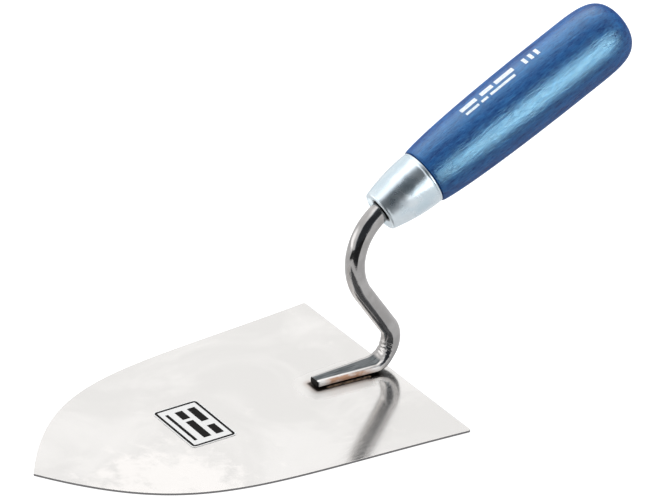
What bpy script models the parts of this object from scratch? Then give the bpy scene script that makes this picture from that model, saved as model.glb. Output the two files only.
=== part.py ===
"""Plasterer's trowel: a flat blade with a pointed arch outline, a forged tang with a flattened foot welded on
the blade, a conical ferrule and a turned wooden handle.

Units are metres, +Z is up. The blade's underside lies on Z = 0, its tip points to -X and its heel faces +X.
The origin is on the underside, on the centre line, halfway between tip and heel.
"""

import math

import bmesh
import bpy
import numpy as np
from mathutils import Matrix, Vector
from mathutils.geometry import interpolate_bezier

# Blade
BLADE_LENGTH = 0.170
BLADE_WIDTH = 0.130
BLADE_THICKNESS = 0.0010
HEEL_HANDLE = (0.570, 0.846)  # outline's handle at the heel, as shares of blade length and half width
TIP_HANDLE = (0.757, 1.022)  # outline's handle at the tip, as shares of blade length and half width
BLADE_EDGE_BREAK = 0.00012
HEEL_CORNER_RADIUS = 0.0012
OUTLINE_STEPS = 36

# Fits
REST_GAP = 0.0003  # between a piece and the one it rests on or is pushed into
BEDDED_GAP = 0.00005  # under a label and round weld metal

# Tang: foot, neck and spike
FOOT_LENGTH = 0.0280  # from the toe to where the lower bend starts
FOOT_TOE_WIDTH = 0.0064
FOOT_HEEL_WIDTH = 0.0108
FOOT_HEIGHT = 0.0036
ROUND = 2.0  # exponent of a round section; a higher one gives a boxier section
FOOT_SQUARENESS = 5.0
FOOT_TOE_BREAK = 0.0005
FOOT_SETBACK = 0.0078  # from the heel edge to where the lower bend starts
NECK_DIAMETER = 0.0083
NECK_TOP_DIAMETER = 0.0088
BEND_RADIUS = 0.0105
BEND_SHAPED = 0.75  # share of the lower bend over which the foot's section turns into the neck's
NECK_LEAN = math.radians(123.5)  # heading of the neck's straight stretch, from +X towards +Z
NECK_STRAIGHT = 0.0224
KNEE_RADIUS = 0.0260
HANDLE_PITCH = math.radians(25.6)
SPIKE_LENGTH = 0.078  # from the end of the knee to the point
SPIKE_ROOT_LENGTH = 0.012  # the round stretch that passes the ferrule
SPIKE_ROOT_WIDTH = 0.0066
SPIKE_POINT_WIDTH = 0.0030
SPIKE_SQUARENESS = 3.0
SECTION_SIDES = 20
BEND_STATIONS = 11  # sections along the lower bend, and along the knee
FOOT_STATIONS = 5

# Weld seams
WELD_LEG = 0.0012
WELD_SETBACK = 0.0030  # from each end of the foot's straight sides
WELD_STATIONS = 9
WELD_FACE = 0.45  # where the fillet's face bows out to, as a share of the leg along both legs
WELD_END_LEG = 0.4  # the leg at each end of the seam, as a share of the full leg
WELD_END_SHARPNESS = 8  # even exponent: the higher, the shorter the taper at the seam's ends

# Ferrule
FERRULE_LENGTH = 0.0242
FERRULE_NOSE_RADIUS = 0.0089
FERRULE_REAR_RADIUS = 0.0123
FERRULE_WALL = 0.0010
FERRULE_NOSE_ROUNDING = 0.0012
FERRULE_LEAD = 0.0031  # how far the nose stands ahead of the knee's end
FERRULE_HOLE_CLEARANCE = 0.0004
FERRULE_LIP = 0.0012  # width of the rolled rear edge
FERRULE_LIP_GROOVE = 0.0002
FERRULE_LIP_BREAK = 0.0003

# Handle
HANDLE_LENGTH = 0.1084  # behind the ferrule
HANDLE_SHOULDER_PROUD = 0.0004  # how far the wood stands out past the ferrule's rear edge
HANDLE_SHOULDER_BREAK = 0.0004
HANDLE_BELLY_RADIUS = 0.0157
HANDLE_SWELL = (0.080, 0.0012)  # the body curve's first handle: share of the length, radius under the belly's
HANDLE_FULLNESS = 0.340  # the body curve's second handle, as a share of the length
HANDLE_BODY_END = 0.670  # where the body curve reaches the belly's radius, as a share of the length
HANDLE_DOME_START = 0.782  # where the dome leaves the belly's radius, as a share of the length
HANDLE_DOME_SIDE = 0.925  # the dome curve's first handle, as a share of the length
HANDLE_DOME_FLAT = 0.95  # the dome curve's second handle, as a share of the belly's radius
SPIGOT_SHORTFALL = 0.0030  # how far the spigot stays behind the ferrule's nose wall
SPIGOT_BREAK = 0.0006
BORE_MOUTH_DEPTH = 0.0020
BORE_EXTRA_DEPTH = 0.0040
BORE_POINT_RADIUS = 0.0012

TURNED_SIDES = 48  # round the handle and the ferrule

# Label on the blade
LABEL_LENGTH = 0.0215
LABEL_WIDTH = 0.0340
LABEL_THICKNESS = 0.00012
LABEL_CORNER_RADIUS = 0.0020
LABEL_FROM_HEEL = 0.0940

HEEL_X = BLADE_LENGTH / 2


def clear_scene():
    for old in list(bpy.data.objects):
        bpy.data.objects.remove(old, do_unlink=True)


def plain_material(name, colour, roughness, metallic):
    material = bpy.data.materials.new(name)
    material.use_nodes = True
    shader = material.node_tree.nodes["Principled BSDF"]
    shader.inputs["Base Color"].default_value = (*colour, 1.0)
    shader.inputs["Roughness"].default_value = roughness
    shader.inputs["Metallic"].default_value = metallic
    return material


def object_from(bm, name, material, smooth_below=None):
    """Writes the bmesh to a new object, faces pointing out, smooth across edges blunter than an angle."""
    bmesh.ops.recalc_face_normals(bm, faces=bm.faces)
    mesh = bpy.data.meshes.new(name)
    bm.to_mesh(mesh)
    bm.free()
    mesh.materials.append(material)
    if smooth_below is not None:
        mesh.shade_smooth()
        mesh.set_sharp_from_angle(angle=smooth_below)
    made = bpy.data.objects.new(name, mesh)
    bpy.context.scene.collection.objects.link(made)
    return made


def heading(angle):
    """Unit vector in the X-Z plane at this angle from +X towards +Z."""
    return Vector((math.cos(angle), 0.0, math.sin(angle)))


# ---------------------------------------------------------------- blade


def blade_outline():
    """Points round the blade, from the left heel corner over the tip to the right heel corner."""
    half = BLADE_WIDTH / 2
    corner = Vector((HEEL_X, half, 0.0))
    heel_handle = Vector((HEEL_X - HEEL_HANDLE[0] * BLADE_LENGTH, HEEL_HANDLE[1] * half, 0.0))
    tip_handle = Vector((HEEL_X - TIP_HANDLE[0] * BLADE_LENGTH, TIP_HANDLE[1] * half, 0.0))
    tip = Vector((HEEL_X - BLADE_LENGTH, 0.0, 0.0))
    left = interpolate_bezier(corner, heel_handle, tip_handle, tip, OUTLINE_STEPS)
    right = [Vector((point.x, -point.y, 0.0)) for point in reversed(left[:-1])]
    return left + right


def make_blade(material):
    bm = bmesh.new()
    rim = [bm.verts.new(point) for point in blade_outline()]
    bm.faces.new(rim)
    bmesh.ops.bevel(
        bm,
        geom=[rim[0], rim[-1]],
        offset=HEEL_CORNER_RADIUS,
        segments=4,
        profile=0.5,
        affect="VERTICES",
        material=-1,
    )
    raised = bmesh.ops.extrude_face_region(bm, geom=bm.faces[:])
    top_verts = [item for item in raised["geom"] if isinstance(item, bmesh.types.BMVert)]
    bmesh.ops.translate(bm, vec=(0.0, 0.0, BLADE_THICKNESS), verts=top_verts)
    level_edges = [edge for edge in bm.edges if abs(edge.verts[0].co.z - edge.verts[1].co.z) < 1e-7]
    bmesh.ops.bevel(
        bm,
        geom=level_edges,
        offset=BLADE_EDGE_BREAK,
        segments=1,
        profile=0.5,
        affect="EDGES",
        material=-1,
    )
    return object_from(bm, "blade", material)


# ---------------------------------------------------------------- tang


def foot_centre_height():
    return BLADE_THICKNESS + REST_GAP + FOOT_HEIGHT / 2


def bend_start():
    """Where the foot's centre line turns into the lower bend."""
    return Vector((HEEL_X - FOOT_SETBACK, 0.0, foot_centre_height()))


def bend_end():
    start = bend_start()
    return start + Vector(
        (BEND_RADIUS * math.sin(NECK_LEAN), 0.0, BEND_RADIUS * (1.0 - math.cos(NECK_LEAN)))
    )


def knee_start():
    return bend_end() + heading(NECK_LEAN) * NECK_STRAIGHT


def knee_centre():
    return knee_start() + heading(NECK_LEAN - math.pi / 2) * KNEE_RADIUS


def knee_end():
    """Where the neck meets the handle's axis."""
    return knee_centre() + heading(HANDLE_PITCH + math.pi / 2) * KNEE_RADIUS


def section_points(place, direction, width, thickness, squareness):
    """A closed ring across the tang: a superellipse, round at exponent 2 and boxy above it."""
    up = heading(direction + math.pi / 2)
    ring = []
    for step in range(SECTION_SIDES):
        turn = 2 * math.pi * (step + 0.5) / SECTION_SIDES
        across = math.copysign(abs(math.cos(turn)) ** (2 / squareness), math.cos(turn)) * width / 2
        lift = math.copysign(abs(math.sin(turn)) ** (2 / squareness), math.sin(turn)) * thickness / 2
        ring.append(place + Vector((0.0, across, 0.0)) + up * lift)
    return ring


def blend(low, high, share):
    """Eased change from low to high as share goes from 0 to 1."""
    share = min(max(share, 0.0), 1.0)
    eased = share * share * (3.0 - 2.0 * share)
    return low + (high - low) * eased


def tang_stations():
    """(place, direction, width, thickness, squareness) along the tang, from the toe to the spike's point."""
    stations = []
    start = bend_start()
    for share in np.linspace(0.0, 1.0, FOOT_STATIONS):
        place = start + Vector((-FOOT_LENGTH * (1.0 - share), 0.0, 0.0))
        width = FOOT_TOE_WIDTH + (FOOT_HEEL_WIDTH - FOOT_TOE_WIDTH) * share
        stations.append((place, 0.0, width, FOOT_HEIGHT, FOOT_SQUARENESS))
    bend_centre = start + Vector((0.0, 0.0, BEND_RADIUS))
    for share in np.linspace(0.0, 1.0, BEND_STATIONS)[1:]:
        angle = NECK_LEAN * share
        place = bend_centre + heading(angle - math.pi / 2) * BEND_RADIUS
        width = blend(FOOT_HEEL_WIDTH, NECK_DIAMETER, share / BEND_SHAPED)
        thickness = blend(FOOT_HEIGHT, NECK_DIAMETER, share / BEND_SHAPED)
        squareness = blend(FOOT_SQUARENESS, ROUND, share / BEND_SHAPED)
        lift = heading(angle + math.pi / 2) * (thickness - FOOT_HEIGHT) / 2 * (1.0 - share)
        stations.append((place + lift, angle, width, thickness, squareness))
    for share in (0.5, 1.0):
        place = bend_end() + heading(NECK_LEAN) * NECK_STRAIGHT * share
        stations.append((place, NECK_LEAN, NECK_DIAMETER, NECK_DIAMETER, ROUND))
    for share in np.linspace(0.0, 1.0, BEND_STATIONS)[1:]:
        angle = NECK_LEAN + (HANDLE_PITCH - NECK_LEAN) * share
        place = knee_centre() + heading(angle + math.pi / 2) * KNEE_RADIUS
        diameter = blend(NECK_DIAMETER, NECK_TOP_DIAMETER, share)
        stations.append((place, angle, diameter, diameter, ROUND))
    along = heading(HANDLE_PITCH)
    root = knee_end() + along * SPIKE_ROOT_LENGTH
    stations.append((root, HANDLE_PITCH, SPIKE_ROOT_WIDTH, SPIKE_ROOT_WIDTH, SPIKE_SQUARENESS))
    point = knee_end() + along * SPIKE_LENGTH
    stations.append((point, HANDLE_PITCH, SPIKE_POINT_WIDTH, SPIKE_POINT_WIDTH, SPIKE_SQUARENESS))
    return stations


def make_tang(material):
    bm = bmesh.new()
    rings = []
    for station in tang_stations():
        verts = [bm.verts.new(point) for point in section_points(*station)]
        edges = [bm.edges.new((verts[i - 1], verts[i])) for i in range(len(verts))]
        rings.append((verts, edges))
    for (_, near), (_, far) in zip(rings, rings[1:]):
        bmesh.ops.bridge_loops(bm, edges=near + far)
    toe = bm.faces.new(rings[0][0])
    bm.faces.new(rings[-1][0])
    bmesh.ops.bevel(
        bm,
        geom=list(toe.edges),
        offset=FOOT_TOE_BREAK,
        segments=2,
        profile=0.5,
        affect="EDGES",
        material=-1,
    )
    return object_from(bm, "tang", material, math.radians(40))


# ---------------------------------------------------------------- weld seams


def make_weld(side, material):
    """A fillet along one long side of the foot. Side is 1 for the left (+Y) and -1 for the right."""
    name = "weld_left" if side > 0 else "weld_right"
    start = bend_start()
    floor = BLADE_THICKNESS + BEDDED_GAP
    bm = bmesh.new()
    rings = []
    for share in np.linspace(0.0, 1.0, WELD_STATIONS):
        from_toe = WELD_SETBACK + (FOOT_LENGTH - 2 * WELD_SETBACK) * share
        x = start.x - FOOT_LENGTH + from_toe
        foot_half = (FOOT_TOE_WIDTH + (FOOT_HEEL_WIDTH - FOOT_TOE_WIDTH) * from_toe / FOOT_LENGTH) / 2
        fullness = math.sqrt(1.0 - (2 * share - 1) ** WELD_END_SHARPNESS)
        leg = WELD_LEG * max(fullness, WELD_END_LEG)
        bow = leg * WELD_FACE
        inner = foot_half + BEDDED_GAP
        corners = [(inner, 0.0), (inner + leg, 0.0), (inner + bow, bow), (inner, leg)]
        rings.append([bm.verts.new((x, side * y, floor + z)) for y, z in corners])
    loops = [[bm.edges.new((ring[i - 1], ring[i])) for i in range(len(ring))] for ring in rings]
    for near, far in zip(loops, loops[1:]):
        bmesh.ops.bridge_loops(bm, edges=near + far)
    bm.faces.new(rings[0])
    bm.faces.new(rings[-1])
    return object_from(bm, name, material, math.radians(50))


# ---------------------------------------------------------------- turned pieces


def axis_matrix(start):
    """Places a piece turned round +Z so that +Z runs along the handle's axis from this point."""
    tilt = Matrix.Rotation(math.pi / 2 - HANDLE_PITCH, 4, "Y")
    return Matrix.Translation(start) @ tilt


def turn(profile, name, material, start, smooth_below):
    """Spins a closed profile of (radius, distance) points round the handle's axis."""
    bm = bmesh.new()
    verts = [bm.verts.new((radius, 0.0, along)) for radius, along in profile]
    edges = [bm.edges.new((verts[i], verts[i + 1])) for i in range(len(verts) - 1)]
    if profile[0][0] > 0.0 or profile[-1][0] > 0.0:
        edges.append(bm.edges.new((verts[-1], verts[0])))
    bmesh.ops.spin(
        bm,
        geom=verts + edges,
        cent=(0.0, 0.0, 0.0),
        axis=(0.0, 0.0, 1.0),
        angle=2 * math.pi,
        steps=TURNED_SIDES,
        use_merge=True,
    )
    bmesh.ops.remove_doubles(bm, verts=bm.verts, dist=1e-6)
    bmesh.ops.transform(bm, matrix=axis_matrix(start), verts=bm.verts)
    return object_from(bm, name, material, smooth_below)


def ferrule_start():
    return knee_end() - heading(HANDLE_PITCH) * FERRULE_LEAD


def ferrule_radius(along):
    """Outer radius of the ferrule's shell, which flares from the nose and straightens towards the rear."""
    left = 1.0 - along / FERRULE_LENGTH
    return FERRULE_REAR_RADIUS - (FERRULE_REAR_RADIUS - FERRULE_NOSE_RADIUS) * left * left


def ferrule_hole_radius():
    return NECK_TOP_DIAMETER / 2 + FERRULE_HOLE_CLEARANCE


def ferrule_bore_radius(along):
    """Radius inside the shell."""
    return ferrule_radius(along) - FERRULE_WALL


def make_ferrule(material):
    """The shell's profile, from the nose's rounding along the outside and back along the inside."""
    profile = []
    for share in np.linspace(0.0, 1.0, 5):
        turned = math.pi / 2 * share
        inset = FERRULE_NOSE_ROUNDING * (1.0 - math.sin(turned))
        along = FERRULE_NOSE_ROUNDING * (1.0 - math.cos(turned))
        profile.append((ferrule_radius(FERRULE_NOSE_ROUNDING) - inset, along))
    groove_end = FERRULE_LENGTH - FERRULE_LIP
    groove_start = groove_end - 2 * FERRULE_LIP_GROOVE
    groove_radius = ferrule_radius(groove_end) - FERRULE_LIP_GROOVE
    for along in np.linspace(FERRULE_NOSE_ROUNDING, groove_start, 8)[1:]:
        profile.append((ferrule_radius(along), along))
    profile.append((groove_radius, groove_start + FERRULE_LIP_GROOVE))
    profile.append((groove_radius, groove_end))
    profile.append((FERRULE_REAR_RADIUS, groove_end + FERRULE_LIP_BREAK))
    profile.append((FERRULE_REAR_RADIUS, FERRULE_LENGTH - FERRULE_LIP_BREAK))
    profile.append((FERRULE_REAR_RADIUS - FERRULE_LIP_BREAK, FERRULE_LENGTH))
    profile.append((FERRULE_REAR_RADIUS - FERRULE_WALL, FERRULE_LENGTH))
    inner_end = FERRULE_WALL + SPIGOT_BREAK
    for along in np.linspace(FERRULE_LENGTH, inner_end, 7)[1:]:
        profile.append((ferrule_bore_radius(along), along))
    profile.append((ferrule_bore_radius(FERRULE_WALL) - SPIGOT_BREAK, FERRULE_WALL))
    profile.append((ferrule_hole_radius(), FERRULE_WALL))
    profile.append((ferrule_hole_radius(), 0.0))
    return turn(profile, "ferrule", material, ferrule_start(), math.radians(35))


def handle_outside():
    """(radius, distance from the wood's front face) points of the turned outside, shoulder to butt."""
    shoulder = Vector((FERRULE_REAR_RADIUS + HANDLE_SHOULDER_PROUD, 0.0, 0.0))
    swell = Vector((HANDLE_BELLY_RADIUS - HANDLE_SWELL[1], HANDLE_SWELL[0] * HANDLE_LENGTH, 0.0))
    fullness = Vector((HANDLE_BELLY_RADIUS, HANDLE_FULLNESS * HANDLE_LENGTH, 0.0))
    belly = Vector((HANDLE_BELLY_RADIUS, HANDLE_BODY_END * HANDLE_LENGTH, 0.0))
    dome_start = Vector((HANDLE_BELLY_RADIUS, HANDLE_DOME_START * HANDLE_LENGTH, 0.0))
    dome_side = Vector((HANDLE_BELLY_RADIUS, HANDLE_DOME_SIDE * HANDLE_LENGTH, 0.0))
    dome_end = Vector((HANDLE_BELLY_RADIUS * HANDLE_DOME_FLAT, HANDLE_LENGTH, 0.0))
    apex = Vector((0.0, HANDLE_LENGTH, 0.0))
    body = interpolate_bezier(shoulder, swell, fullness, belly, 11)
    dome = interpolate_bezier(dome_start, dome_side, dome_end, apex, 10)
    return [(point.x, point.y) for point in body + dome]


def spike_reach(width):
    """Half the spike's diagonal, where its section is this wide."""
    return width / 2 * math.sqrt(2.0) * 0.5 ** (1.0 / SPIKE_SQUARENESS)


def handle_bore():
    """(radius, distance from the ferrule's nose) points of the bore, from its mouth to its bottom."""
    mouth = FERRULE_WALL + SPIGOT_SHORTFALL
    mouth_radius = NECK_TOP_DIAMETER / 2 + REST_GAP
    spike_end = FERRULE_LEAD + SPIKE_LENGTH
    return [
        (mouth_radius, mouth),
        (mouth_radius, mouth + BORE_MOUTH_DEPTH),
        (spike_reach(SPIKE_ROOT_WIDTH) + REST_GAP, FERRULE_LEAD + SPIKE_ROOT_LENGTH),
        (spike_reach(SPIKE_POINT_WIDTH) + REST_GAP, spike_end),
        (BORE_POINT_RADIUS, spike_end + BORE_EXTRA_DEPTH / 2),
        (0.0, spike_end + BORE_EXTRA_DEPTH),
    ]


def handle_spigot():
    """(radius, distance from the ferrule's nose) points of the spigot, from its front end to the shoulder."""
    front = FERRULE_WALL + SPIGOT_SHORTFALL
    points = [(ferrule_bore_radius(front) - REST_GAP - SPIGOT_BREAK, front)]
    for along in np.linspace(front + SPIGOT_BREAK, FERRULE_LENGTH, 6):
        points.append((ferrule_bore_radius(along) - REST_GAP, along))
    points.append((ferrule_bore_radius(FERRULE_LENGTH) - REST_GAP, FERRULE_LENGTH + REST_GAP))
    return points


def make_handle(material):
    """The wood: the bore for the spike, the spigot inside the ferrule, and the domed body."""
    face = FERRULE_LENGTH + REST_GAP
    outside = handle_outside()
    shoulder_radius = outside[0][0]
    profile = list(reversed(handle_bore()))
    profile += handle_spigot()
    profile.append((shoulder_radius - HANDLE_SHOULDER_BREAK, face))
    profile.append((shoulder_radius, face + HANDLE_SHOULDER_BREAK))
    profile += [(radius, face + along) for radius, along in outside if along > HANDLE_SHOULDER_BREAK]
    return turn(profile, "handle", material, ferrule_start(), math.radians(35))


# ---------------------------------------------------------------- label


def make_label(material):
    bm = bmesh.new()
    bmesh.ops.create_grid(bm, x_segments=1, y_segments=1, size=0.5)
    bmesh.ops.scale(bm, vec=(LABEL_LENGTH, LABEL_WIDTH, 1.0), verts=bm.verts)
    bmesh.ops.bevel(
        bm,
        geom=bm.verts[:],
        offset=LABEL_CORNER_RADIUS,
        segments=6,
        profile=0.5,
        affect="VERTICES",
        material=-1,
    )
    raised = bmesh.ops.extrude_face_region(bm, geom=bm.faces[:])
    top_verts = [item for item in raised["geom"] if isinstance(item, bmesh.types.BMVert)]
    bmesh.ops.translate(bm, vec=(0.0, 0.0, LABEL_THICKNESS), verts=top_verts)
    place = (HEEL_X - LABEL_FROM_HEEL, 0.0, BLADE_THICKNESS + BEDDED_GAP)
    bmesh.ops.translate(bm, vec=place, verts=bm.verts)
    return object_from(bm, "blade_label", material)


def main():
    clear_scene()
    stainless = plain_material("stainless_sheet", (0.78, 0.77, 0.75), 0.22, 1.0)
    forged = plain_material("plated_forging", (0.42, 0.42, 0.43), 0.20, 1.0)
    weld = plain_material("weld_metal", (0.48, 0.38, 0.32), 0.40, 1.0)
    zinc = plain_material("zinc_plated_shell", (0.74, 0.78, 0.82), 0.22, 1.0)
    blue_wood = plain_material("blue_lacquered_wood", (0.03, 0.13, 0.36), 0.32, 0.0)
    paper = plain_material("label_paper", (0.86, 0.86, 0.85), 0.55, 0.0)
    make_blade(stainless)
    make_tang(forged)
    make_weld(1, weld)
    make_weld(-1, weld)
    make_ferrule(zinc)
    make_handle(blue_wood)
    make_label(paper)


main()
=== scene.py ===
"""Plasterer's trowel: the finished surfaces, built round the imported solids.

Everything is in metres. The blade's underside lies on Z = 0, its tip points to -X and the handle rises to +X.
"""

import math

import bmesh
import bpy
from mathutils import Matrix, Vector, noise
from mathutils.geometry import interpolate_bezier


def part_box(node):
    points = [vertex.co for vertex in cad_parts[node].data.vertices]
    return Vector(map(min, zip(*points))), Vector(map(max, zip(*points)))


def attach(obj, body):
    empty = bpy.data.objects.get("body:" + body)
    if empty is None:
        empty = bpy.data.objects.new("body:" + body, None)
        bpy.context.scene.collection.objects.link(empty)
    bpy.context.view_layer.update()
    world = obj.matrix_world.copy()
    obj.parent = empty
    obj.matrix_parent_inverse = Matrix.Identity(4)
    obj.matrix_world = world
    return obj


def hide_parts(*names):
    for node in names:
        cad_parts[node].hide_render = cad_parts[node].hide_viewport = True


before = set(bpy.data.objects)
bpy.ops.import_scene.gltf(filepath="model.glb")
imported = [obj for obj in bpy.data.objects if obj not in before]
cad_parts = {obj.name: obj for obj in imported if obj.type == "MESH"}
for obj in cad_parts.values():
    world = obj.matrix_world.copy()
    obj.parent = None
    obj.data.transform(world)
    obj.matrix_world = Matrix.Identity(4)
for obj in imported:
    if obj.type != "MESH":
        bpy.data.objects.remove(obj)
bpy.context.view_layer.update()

# Blade
BLADE_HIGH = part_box("blade")[1]
BLADE_LENGTH = 0.170
BLADE_WIDTH = 0.130
HEEL_X = BLADE_HIGH.x
BLADE_TOP = BLADE_HIGH.z
HEEL_HANDLE = (0.570, 0.846)  # outline's handle at the heel, as shares of blade length and half width
TIP_HANDLE = (0.757, 1.022)  # outline's handle at the tip, as shares of blade length and half width
OUTLINE_STEPS = 110
HEEL_CORNER_RADIUS = 0.0012
BLADE_EDGE_BREAK = 0.00012
POLISHED_SPOT = (-0.045, -0.040)  # middle of a patch that use has rubbed brighter

# Tang
REST_GAP = 0.0003  # between pieces that touch on the real tool
FOOT_LENGTH = 0.0280
FOOT_TOE_WIDTH = 0.0064
FOOT_HEEL_WIDTH = 0.0108
FOOT_HEIGHT = 0.0036
FOOT_SQUARENESS = 3.5  # exponent of the section: 2 is round, higher is boxier
ROUND = 2.0
FOOT_TOE_BREAK = 0.0007
FOOT_SETBACK = 0.0078
NECK_DIAMETER = 0.0083
NECK_TOP_DIAMETER = 0.0088
BEND_RADIUS = 0.0105
BEND_SHAPED = 0.75
BEND_ROUNDED = 0.42  # share of the bend by which the section has lost its corners
NECK_LEAN = math.radians(123.5)
NECK_STRAIGHT = 0.0224
KNEE_RADIUS = 0.0260
HANDLE_PITCH = math.radians(25.6)
NECK_INSIDE = 0.0060  # how far the neck runs on inside the ferrule
SECTION_SIDES = 72
FOOT_TOP = BLADE_TOP + REST_GAP + FOOT_HEIGHT
FOOT_END_X = HEEL_X - FOOT_SETBACK  # where the foot turns up into the bend
TOE_X = FOOT_END_X - FOOT_LENGTH
FOLD_RATE = 21.0  # radians of the folds' wave for each radian of the lower bend
FOLD_DEPTH = 0.00016
FOLD_REACH = 0.0030  # from the bend's middle line in to where the folds are deepest
FOLD_MIDDLE = 0.95  # radians round the bend
FOLD_SPAN = 0.85  # radians from the middle of the folds to where they end
HAMMER_DEPTH = 0.00005
SCALE_LOSS = 0.000025  # what forging scale takes off everywhere

# Welds
WELD_LEG = 0.0008
WELD_GAP = 0.00005
WELD_STEPS = 60
WELD_SIDES = 10

# Ferrule
FERRULE_LENGTH = 0.0242
FERRULE_NOSE_RADIUS = 0.0089
FERRULE_REAR_RADIUS = 0.0123
FERRULE_WALL = 0.0010
FERRULE_NOSE_ROUNDING = 0.0012
FERRULE_LEAD = 0.0031
FERRULE_HOLE_RADIUS = 0.0048
NOSE_DISH = 0.0011  # how deep the front face dips towards its hole
HOLE_BREAK = 0.0002
CORNER_INSIDE = 0.0006  # where the wall turns into the front, inside
LIP_WIDTH = 0.0012
LIP_ROUNDING = 0.00045
LIP_GROOVE = 0.0002

# Handle
HANDLE_LENGTH = 0.1084
SHOULDER_PROUD = 0.0004
SHOULDER_BREAK = 0.0004
BELLY_RADIUS = 0.0157
HANDLE_SWELL = (0.080, 0.0012)
HANDLE_FULLNESS = 0.340
HANDLE_BODY_END = 0.670
HANDLE_DOME_START = 0.782
HANDLE_DOME_SIDE = 0.925
HANDLE_DOME_FLAT = 0.95
SPIGOT_SETBACK = 0.0030  # from the ferrule's front wall to the wood inside it
BODY_STEPS = 70
DOME_STEPS = 60
TURNED_SIDES = 160
ALONG_HANDLE = (0.0, HANDLE_PITCH, 0.0)  # turns the handle's axis onto +X, for patterns that run along it

# Label and print
LABEL_LOW, LABEL_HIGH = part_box("blade_label")
LABEL_CORNER = 0.0020
INK_THICKNESS = 0.00002
INK_GAP = 0.000005
FRAME_MARGIN = 0.0006
FRAME_CORNER = 0.0016
FRAME_LINE = 0.0011
# Blocks on the label: the block's middle from the label's middle in x and y, then its size in x and y
LABEL_BLOCKS = (
    (0.0052, 0.0060, 0.0036, 0.0120),
    (0.0052, -0.0080, 0.0036, 0.0080),
    (-0.0008, 0.0085, 0.0036, 0.0070),
    (-0.0008, -0.0045, 0.0036, 0.0150),
    (-0.0064, 0.0, 0.0014, 0.0240),
)
PRINT_THICKNESS = 0.00003
PRINT_FACE_LENGTH = 0.0012
PRINT_FACE_ROWS = 5
# Printed bars on the handle: start and end along the wood in metres,
# then the two sides as degrees round from the top
PRINT_BARS = (
    (0.0270, 0.0355, -6.0, 3.5),
    (0.0380, 0.0445, -6.0, 3.5),
    (0.0460, 0.0560, -6.0, 3.5),
    (0.0275, 0.0345, 9.5, 14.5),
    (0.0360, 0.0395, 9.5, 14.5),
    (0.0410, 0.0545, 9.5, 14.5),
    (0.0610, 0.0626, -5.0, 9.0),
    (0.0643, 0.0659, -5.0, 9.0),
    (0.0676, 0.0692, -5.0, 9.0),
)

# Camera
CAMERA_PLACE = (-0.91419, -1.54502, 1.03106)
CAMERA_TILT = math.radians(62.07)
CAMERA_TURN = math.radians(-32.2)
SENSOR_WIDTH = 36.0
LENS_LENGTH = 269.87


# ---------------------------------------------------------------- helpers


def object_from(bm, name, material, smooth_below=None):
    """Writes the bmesh to a new object, shaded smooth where its faces meet below an angle if one is given."""
    mesh = bpy.data.meshes.new(name)
    bm.to_mesh(mesh)
    bm.free()
    mesh.materials.append(material)
    if smooth_below is not None:
        mesh.shade_smooth()
        mesh.set_sharp_from_angle(angle=smooth_below)
    piece = bpy.data.objects.new(name, mesh)
    bpy.context.scene.collection.objects.link(piece)
    return piece


def heading(angle):
    """Unit vector in the X-Z plane at this angle from +X towards +Z."""
    return Vector((math.cos(angle), 0.0, math.sin(angle)))


def ease(share):
    """0 to 1 with a level start and end, and held at 0 and 1 outside them."""
    share = min(max(share, 0.0), 1.0)
    return share * share * (3.0 - 2.0 * share)


def blend(low, high, share):
    return low + (high - low) * ease(share)


def hump(value, centre, half_width):
    """1 at the centre, easing to 0 at half_width on both sides."""
    return ease(1.0 - abs(value - centre) / half_width)


# ---------------------------------------------------------------- node helpers


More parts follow.
